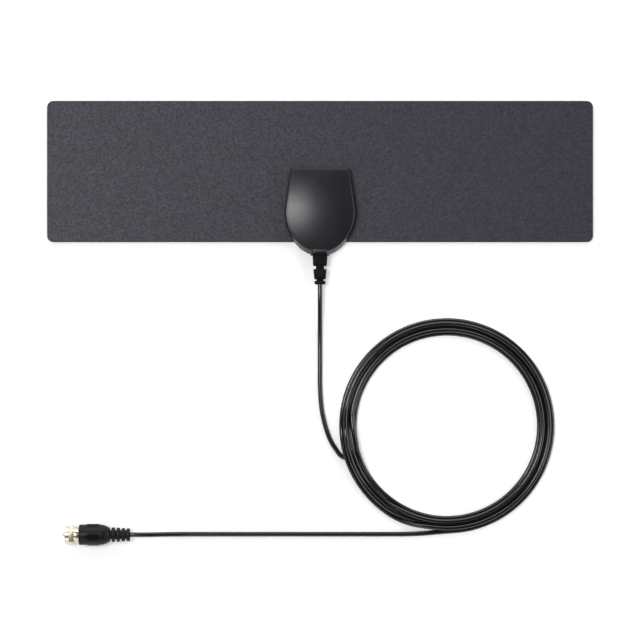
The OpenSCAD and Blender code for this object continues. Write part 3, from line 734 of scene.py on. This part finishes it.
def cover_skin(inset, bottom, soft_rim, soft_crown):
    """Rings of the cover's skin from its bottom edge over the wall to the crown's middle."""
    rim = shield(HOUSING_TOP_W - 2 * inset, HOUSING_W - 2 * inset, HOUSING_Y1 - inset,
                 WIDE_Y, HOUSING_Y0 + inset)
    crown = shield(DOME_TOP_W - 2 * inset, DOME_W - 2 * inset, DOME_Y1 - inset,
                   WIDE_Y, DOME_Y0 + inset)
    rim_z, columns = SEAM_Z + RIM_H, []
    for (rx, ry), (cx, cy) in zip(rim, crown):
        foot, head = Vector((rx, ry, rim_z)), Vector((cx, cy, HOUSING_H))
        low, high = 0.0, 1.0
        for _ in range(40):
            t = (low + high) / 2
            p = foot.lerp(head, t)
            low, high = (t, high) if p.z < dome_z(p.x, p.y, inset) else (low, t)
        edge = foot.lerp(head, low)
        lean = (edge - foot).normalized()
        inward = Vector((-edge.x, DOME_CY - edge.y, 0)).normalized()
        column = [Vector((rx, ry, bottom)), Vector((rx, ry, (bottom + rim_z) / 2))]
        below, above = foot - Vector((0, 0, soft_rim)), foot + lean * soft_rim
        column += [arc(below, foot, above, k / 3) for k in range(4)]
        start = edge - lean * soft_crown
        column += [above.lerp(start, k / 5) for k in range(1, 5)]
        step = edge + inward * soft_crown
        end = Vector((step.x, step.y, dome_z(step.x, step.y, inset)))
        column += [arc(start, edge, end, k / 6) for k in range(7)]
        for k in range(1, 16):
            s = 1 - k / 16
            x, y = end.x * s, DOME_CY + (end.y - DOME_CY) * s
            column.append(Vector((x, y, dome_z(x, y, inset))))
        columns.append(column)
    return [[column[k] for column in columns] for k in range(len(columns[0]))]


def rounded_rect(w, h, r, z, cy=0.0, steps=8):
    found = []
    for sx, sy, first in ((1, 1, 0), (-1, 1, 90), (-1, -1, 180), (1, -1, 270)):
        for k in range(steps + 1):
            x, y = polar(r, math.radians(first + 90 * k / steps))
            found.append((sx * (w / 2 - r) + x, cy + sy * (h / 2 - r) + y, z))
    return found


def rounded_bar(name, y0, y1, w, h, r, z, edge=0.0):
    """Bar along Y with a rounded cross-section, its end edges softened."""
    def section(y, shrink):
        left = max(r - shrink, 0.05)
        less = 2 * (r - left)
        return [(x, y, z + v) for x, v, _ in
                rounded_rect(w - less, h - less, left, 0, steps=6)]
    way = math.copysign(1, y1 - y0)
    turns = [polar(edge, math.radians(a)) for a in ((0, 30, 60, 90) if edge else (0,))]
    rings = [section(y0 + way * (edge - along), edge - across) for along, across in turns]
    rings += [section(y1 - way * (edge - along), edge - across)
              for along, across in reversed(turns)]
    return rings_mesh(name, rings)


def cut(piece, tool_mesh, operation="DIFFERENCE"):
    """Boolean of two closed meshes, applied."""
    tool = in_scene("cutting_form", tool_mesh)
    modifier = piece.modifiers.new("cut", "BOOLEAN")
    modifier.operation, modifier.object, modifier.solver = operation, tool, "EXACT"
    bpy.context.view_layer.update()
    bake(piece)
    bpy.data.objects.remove(tool)


def tunnel(start):
    """The strain relief's way out through the cover, with its clearance."""
    return rounded_bar("tunnel", start, TUNNEL_END, RELIEF_W + TUNNEL_GAP,
                       RELIEF_H + TUNNEL_GAP, 1.35, RELIEF_Z)


def roof_cutter():
    """What is cut away over the strain relief, past the collar's hood."""
    return rings_mesh("roof_cutter", [
        rounded_rect(RELIEF_W + TUNNEL_GAP, 10, HOOD_ROUND, z, -50.85) for z in (5.5, 14.5)])


def make_front_cover():
    """Hollow shell, its outer and inner skins joined round the bottom edge."""
    outer = cover_skin(0, SEAM_Z, 0.25, 0.7)
    inner = cover_skin(WALL, SEAM_Z, 0.1, 0.3)
    n, points, faces = len(outer[0]), [], []
    for rings in (outer, inner):
        base = len(points)
        points += [p for ring in rings for p in ring]
        points.append((0, DOME_CY, dome_z(0, DOME_CY, WALL if rings is inner else 0)))
        for k in range(len(rings) - 1):
            for i in range(n):
                a, b = base + k * n + i, base + k * n + (i + 1) % n
                faces.append((a, b, b + n, a + n))
        last = base + (len(rings) - 1) * n
        faces += [(last + i, last + (i + 1) % n, len(points) - 1) for i in range(n)]
    step = len(outer) * n + 1
    faces += [(i, (i + 1) % n, step + (i + 1) % n, step + i) for i in range(n)]
    cover = as_piece(mesh_from("front_cover_shell", points, faces), "cover_plastic",
                     stands_for=("front_cover",))
    cut(cover, tunnel(-44))
    cut(cover, roof_cutter())
    shade(cover.data, 35)


make_front_cover()


def make_collar():
    """Arched hood round the strain relief."""
    form = rounded_bar("cover_collar", -43.9, -48.32, 11.7, 8.2, HOOD_ROUND, RELIEF_Z, 0.4)
    collar = as_piece(form, "cover_plastic")
    cut(collar, rounded_bar("under_cutter", -40, TUNNEL_END, 20, 6, 0.1, -0.5))
    cut(collar, tunnel(-40))
    cut(collar, roof_cutter())
    soften(collar, 0.12, 40)


make_collar()

# ---------------------------------------------------------------- the other rigid pieces
refined("rear_cover", "cover_plastic", 0.25)
refined("rear_sheet", "panel_sheet", 0.12)
refined("circuit_board", "board", 0.06)
ferrule = refined("crimp_ferrule", "nickel", 0.08)
post = refined("plug_post", "nickel", 0.08)
insulator = refined("plug_insulator", "white_plastic", 0.08)
pin = refined("plug_pin", "copper", 0.05)


def make_screws():
    """Four countersunk screws with cross recesses, each left as it was driven."""
    pattern = in_scene("screw_pattern", lathe("screw_pattern", rounded_profile([
        (0, 0.1, 0), (1.75, 0.1, 0.15), (0.9, 1.1, 0.15), (0.9, 5.6, 0.1), (0.5, 6, 0.1),
        (0, 6, 0)]), 48))
    for turn in (0, 90):
        recess = rings_mesh("recess", [[(-w, -t, z), (w, -t, z), (w, t, z), (-w, t, z)]
                                       for w, t, z in ((1.05, 0.27, -0.2), (0.8, 0.2, 0.65))])
        recess.transform(Matrix.Rotation(math.radians(turn), 4, "Z"))
        cut(pattern, recess)
    form = pattern.data
    bpy.data.objects.remove(pattern)
    made = copies("cover_screws_driven", form, SCREW_SPOTS, "screw_steel", turn=0.62)
    screws = as_piece(made, "screw_steel", stands_for=("cover_screws",), smooth=0)
    soften(screws, 0.04, 35, 1)


make_screws()


def make_front_sheet():
    """Grained sheet with a pressed edge: a fine step runs round, inside the rim."""
    # Distance in from the rim, and depth under the face
    steps = [(0, SHEET_Z1 - SHEET_Z0), (0, 0.17), (0.05, 0.09), (0.14, 0.06), (0.85, 0.06),
             (0.95, 0.045), (1.05, 0.01), (1.2, 0)]
    rings = [rounded_rect(PANEL_W - 2 * d, PANEL_H - 2 * d, PANEL_ROUND - d, SHEET_Z1 - depth,
                          PANEL_CY) for d, depth in steps]
    sheet = as_piece(rings_mesh("front_sheet_skin", rings), "panel_sheet",
                     stands_for=("front_sheet",))
    # Holes on either side for the screw posts and the rivets: place and radius
    for x, y, r in ((13.05, 0.05, 2.65), (12.5, -31.05, 2.65), (6.5, -9.95, 1)):
        for side in (-1, 1):
            drill = lathe("drill", [(0, 1), (r, 1), (r, 4), (0, 4)], 32)
            drill.transform(Matrix.Translation(Vector((side * x, y, 0)) * MM))
            cut(sheet, drill)
    soften(sheet, 0)


make_front_sheet()


def make_relief():
    """Moulded strain relief: tapered blocks joined by narrow waists, with cross slots."""
    # Length, first width, last width and height of each block or waist
    spans = [(3.7, 9.2, 9.2, 5.6), (6.15, 9.3, 8.5, 5.6), (2, 5.2, 5.2, 3.6),
             (6.3, 8.2, 7.2, 4.9), (1, 4.6, 4.6, 3.3), (2.2, 7.2, 6.6, 4.4)]
    y, rings, soft = HOUSING_Y0 + 3.7, [], 0.3
    for length, w0, w1, h in spans:
        for t, shrink in ((0, soft), (0.1 * soft, 0.5 * soft), (soft, 0), (length - soft, 0),
                          (length - 0.1 * soft, 0.5 * soft), (length, soft)):
            w = w0 + (w1 - w0) * t / length
            rings.append([(x, y - t, RELIEF_Z + z) for x, z, _ in
                          rounded_rect(w - 2 * shrink, h - 2 * shrink, 1.2 - shrink / 2, 0)])
        y -= length
    relief = as_piece(rings_mesh("moulded_relief", rings), "soft_black",
                      stands_for=("strain_relief",), finish="deep_black")
    for middle, h in ((HOUSING_Y0 - 3.6, 5.6), (HOUSING_Y0 - 11.3, 4.9)):
        for side in (-1, 1):
            cut(relief, rounded_bar("slot", middle - 0.5, middle + 0.5, 6.4, 2, 0.3,
                                    RELIEF_Z + side * h / 2))
    flange = as_piece(rounded_bar("relief_flange", -44.65 + 1.5, -44.65, 11, 5.9, 1.2,
                                  RELIEF_Z, 0.2), "soft_black", finish="deep_black")
    soften(flange, 0)
    shade(relief.data, 38)
    return relief


relief = make_relief()


def boot_profile():
    """Section of the moulding: a core, a sloping shoulder and the grip."""
    return rounded_profile([
        (1.52, 0.1, 0), (2.9, 0.1, 0), (2.9, 12.3, 0.2), (4.3, 12.4, 0.5), (5.3, 14.2, 1.2),
        (6.2, 16.3, 1.5), (GRIP_R, 18.6, 1.5), (GRIP_R, BOOT_L, 0.45), (3.3, BOOT_L, 0),
        (3.3, BOOT_L - 9, 0), (1.52, BOOT_L - 9, 0)])


def grip_pad():
    """Raised oval on the grip's right side, with seven cross ridges."""
    pad_z, long_half, wide_half, points = 22.95, 4.25, 2.5, 40
    oval = []
    for k in range(points):
        z, y = polar(wide_half, math.tau * k / points)
        oval.append((y, z + math.copysign(long_half - wide_half, z)))
    # Radius on the grip, and how far the oval stands back from its full outline
    rings = [[(*polar(r, y * (1 - back / wide_half) / 6.5), pad_z + z * (1 - back / long_half))
              for y, z in oval]
             for r, back in ((5.6, 0), (6.35, 0), (6.58, 0.08), (6.65, 0.3), (6.65, 0.5),
                             (6.5, 0.62), (6.5, 1.2))]
    parts = [rings_mesh("pad_form", rings)]
    for k in range(-3, 4):
        half = 1.75 - 0.09 * k ** 2
        parts.append(rings_mesh("pad_ridge", [
            [(*polar(r, a / 6.7), pad_z + k + dz)
             for r, dz in ((6.2, -0.3), (6.78, -0.26), (6.88, -0.1), (6.88, 0.1),
                           (6.78, 0.26), (6.2, 0.3))]
            for a in (-half, -half * 0.5, 0, half * 0.5, half)]))
    return joined("grip_pad", parts)


def make_boot():
    """Grip and ribbed tail as one moulding, and the four pads round the grip."""
    rib = lathe("boot_rib", rounded_profile([(2.3, 0, 0), (4, 0, 0.5), (4, 2.1, 0.5),
                                             (2.3, 2.15, 0)]), 96)
    ribs = copies("boot_ribs", rib, [(0, 0, RIB_STEP * k) for k in range(4)], "soft_black",
                  growth=RIB_GROWTH)
    whole = joined("moulded_boot", [lathe("boot_core", boot_profile(), 96), ribs])
    boot = as_piece(on_plug(whole), "soft_black", stands_for=("plug_boot",), smooth=40)
    pads = copies("grip_pads", grip_pad(), [(0, 0, 0)] * 4, "deep_black", turn=math.pi / 2)
    return boot, as_piece(on_plug(pads), "soft_black", finish="deep_black")


boot, grip_pads = make_boot()


def make_nut():
    """Coupling nut: base and ring, hexagon between two cones, round skirt."""
    flat, corner = NUT_FLATS / 2, NUT_FLATS / 2 / math.cos(math.radians(30))
    skirt, band = flat - 0.05, corner - 0.2
    base, ring = flat - 0.55, flat - 0.2
    slope = (band - skirt) * math.tan(math.radians(32))
    section = rounded_profile([
        (NECK_R, 0, 0.1), (base, 0, 0.1), (base, 0.8, 0.05), (ring, 0.8, 0.3),
        (ring, 2.5, 0.3), (base, 2.5, 0.1), (base, 3.1, 0.1), (skirt, 3.1, 0.05),
        (band, 3.1 + slope, 0.1), (band, 6 - slope, 0.1), (skirt, 6, 0.15),
        (skirt, NUT_L, 0.25), (THREAD_R, NUT_L, 0.2), (THREAD_R, 1.5, 0), (NECK_R, 1.5, 0)], 3)
    made = as_piece(lathe("coupling_nut_body", section, 120), "nickel", "nut",
                    ("coupling_nut",), smooth=0)
    turn = [math.radians(HEXAGON_ROLL + 60 * k) for k in range(6)]
    cut(made, rings_mesh("hexagon", [[(*polar(corner, a), z) for a in turn]
                                     for z in (-1, NUT_L + 1)]), "INTERSECT")
    soften(made, 0.05, 18)
    made.data.transform(PLUG_PLACE @ Matrix.Translation((0, 0, NUT_Z0 * MM)))
    return made


nut = make_nut()


def make_thread():
    """Fine thread in the nut's bore, swept along a helix."""
    z0, z1 = NUT_Z0 + 2.6, NUT_Z0 + NUT_L - 0.35
    turns = (z1 - z0) / THREAD_PITCH
    n = round(turns * 40)
    path = bpy.data.curves.new("thread_path", "CURVE")
    path.dimensions = "3D"
    line = path.splines.new("POLY")
    line.points.add(n)
    for k in range(n + 1):
        line.points[k].co = (*polar(THREAD_R * MM, math.tau * turns * k / n),
                             (z0 + (z1 - z0) * k / n) * MM, 1)
    made = run_tree("nut_thread", SWEEP, path,
                    {"Profile Radius": 0.24 * MM, "Profile Sides": 6,
                     "Finish": finishes["nickel"]})
    return as_piece(on_plug(made), "nickel", "nut", smooth=50)


thread = make_thread()

for node, slot in (("left_element", "foil"), ("right_element", "foil"),
                   ("feed_rivets", "brass"), ("balun_core", "ferrite"),
                   ("balun_winding", "copper"), ("chip_capacitors", "ceramic"),
                   ("solder_joints", "solder"), ("lead_end_jacket", "cord_jacket"),
                   ("lead_end_braid", "braid"), ("lead_end_dielectric", "white_plastic"),
                   ("lead_end_conductor", "copper")):
    nodes[node].data.materials.clear()
    nodes[node].data.materials.append(finishes[slot])

# ---------------------------------------------------------------- cord's calls
lead.data.materials.append(finishes["cord_jacket"])
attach(lead, "antenna")
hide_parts("lead_cord", "cord_coil", "tail_cord")


# ---------------------------------------------------------------- studio
def make_floor():
    """Floor that runs level and then curves up far away, so it has no horizon."""
    profile = [(300, 0), (1000, 0), (2500, 0), (5000, 0), (9000, 0), (10200, 250), (11000, 900),
               (11600, 2200), (12000, 6000)]
    sides, under = 64, 0.1
    points, faces = [], [tuple(range(sides))]
    for r, z in profile:
        points += [(*polar(r, math.tau * k / sides), z - under) for k in range(sides)]
    for k in range(len(profile) - 1):
        for i in range(sides):
            a, b = k * sides + i, k * sides + (i + 1) % sides
            faces.append((a, a + sides, b + sides, b))
    mesh = mesh_from("studio_floor", points, faces)
    mesh.shade_smooth()
    material, tree, shader, place = start_material("floor_paint", {
        "Base Color": (0.9, 0.9, 0.9), "Roughness": 0.9, "Specular IOR Level": 0.1})
    rays = tree.nodes.new("ShaderNodeLightPath")
    seen = maths(tree, "MAXIMUM", rays.outputs["Is Camera Ray"],
                 maths(tree, "MAXIMUM", rays.outputs["Is Glossy Ray"],
                       rays.outputs["Is Transmission Ray"]))
    away = put(tree, "ShaderNodeVectorMath", {0: place.outputs["Object"]},
               operation="LENGTH").outputs["Value"]
    # The glow grows with distance, where the lamps reach less, so all of it is white
    lift = ranged(tree, away, 0.5, 2.6, 0.32, 1.0)
    glow = put(tree, "ShaderNodeEmission",
               {"Color": (1, 1, 1), "Strength": maths(tree, "MULTIPLY", seen, lift)})
    both = put(tree, "ShaderNodeAddShader", {0: shader.outputs[0], 1: glow.outputs[0]})
    out = next(n for n in tree.nodes if n.type == "OUTPUT_MATERIAL")
    tree.links.new(both.outputs[0], out.inputs[0])
    mesh.materials.append(material)
    in_scene("studio_floor", mesh)


# Name, place, what it is aimed at, width, height and power
SOFTBOXES = [
    ("left_softbox", (-0.45, 0.03, 1.35), (-0.02, -0.02, 0), 0.36, 0.36, 8),
    ("back_softbox", (-0.05, 1.45, 0.9), (-0.05, -0.1, 0), 2.2, 1.2, 18),
    ("right_softbox", (1.5, -0.1, 0.85), (0.1, -0.1, 0), 1.4, 1.0, 11),
    ("front_softbox", (-0.55, -1.25, 0.85), (-0.1, -0.15, 0), 1.3, 0.5, 4)]
LAMP_COLOUR, ROOM_LIGHT = (1, 0.992, 1.018), 0.12


def softbox(name, place, aim, width, height, power):
    data = bpy.data.lights.new(name, "AREA")
    data.shape, data.size, data.size_y, data.energy = "RECTANGLE", width, height, power
    data.color = LAMP_COLOUR
    lamp = in_scene(name, data)
    lamp.location = place
    away = Vector(place) - Vector(aim)
    lamp.rotation_mode = "QUATERNION"
    lamp.rotation_quaternion = away.to_track_quat("Z", "Y")


def make_studio():
    make_floor()
    world = bpy.data.worlds.new("studio_room")
    bpy.context.scene.world = world
    world.use_nodes = True
    room = world.node_tree.nodes["Background"]
    room.inputs["Color"].default_value = (1, 1, 1, 1)
    room.inputs["Strength"].default_value = ROOM_LIGHT
    for lamp in SOFTBOXES:
        softbox(*lamp)


make_studio()

bpy.context.scene.view_settings.view_transform = "Standard"


def corners(box):
    return [list(box[0]), list(box[1])]
